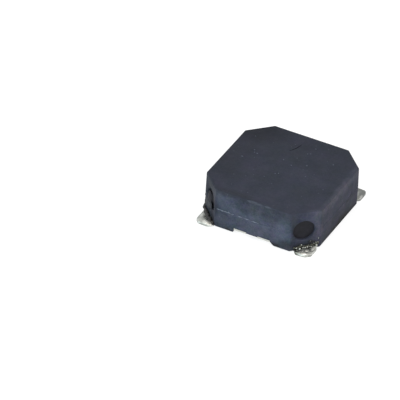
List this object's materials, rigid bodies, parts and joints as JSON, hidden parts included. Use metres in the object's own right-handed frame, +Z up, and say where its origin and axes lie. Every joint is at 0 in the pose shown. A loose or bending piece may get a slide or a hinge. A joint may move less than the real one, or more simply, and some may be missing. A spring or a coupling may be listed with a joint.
{
  "type": "smd magnetic buzzer",
  "caption": "Low chamfered-square black buzzer that sounds out of a slot in one side and is soldered flat to a board by a tinned pad at each corner.",
  "frame": {"origin": "under the middle of the body, on the plane of the solder pads' lower faces", "axes": "+Z up from the board, +Y towards the side with the sound slot, +X to the right when the front (slotless) side is faced"},
  "size_m": [0.0086, 0.0086, 0.003],
  "materials": {
    "cover_plastic": "fine moulded satin",
    "base_plastic": "fine moulded satin",
    "resin": "dull cast resin",
    "tinned_sheet": "tin-plated, slightly dull",
    "plated_iron": "plated stamped iron",
    "magnet_plating": "nickel plating",
    "enamelled_copper": "enamelled wire",
    "spring_steel": "rolled thin sheet",
    "solder": "reflowed solder"
  },
  "bodies": {
    "root": {"cover": "cover_plastic", "base": "base_plastic", "yoke_plate": "plated_iron", "pole_core": "plated_iron", "coil": "enamelled_copper", "coil_lead_plus": "enamelled_copper", "coil_lead_minus": "enamelled_copper", "solder_joint_plus": "solder", "solder_joint_minus": "solder", "ring_magnet": "magnet_plating", "diaphragm": "spring_steel", "armature_disc": "spring_steel", "plus_terminal": "tinned_sheet", "minus_terminal": "tinned_sheet", "dummy_terminal_left": "tinned_sheet", "dummy_terminal_right": "tinned_sheet", "front_left_seal": "resin", "front_right_seal": "resin", "back_left_seal": "resin", "back_right_seal": "resin"}
  },
  "joints": []
}
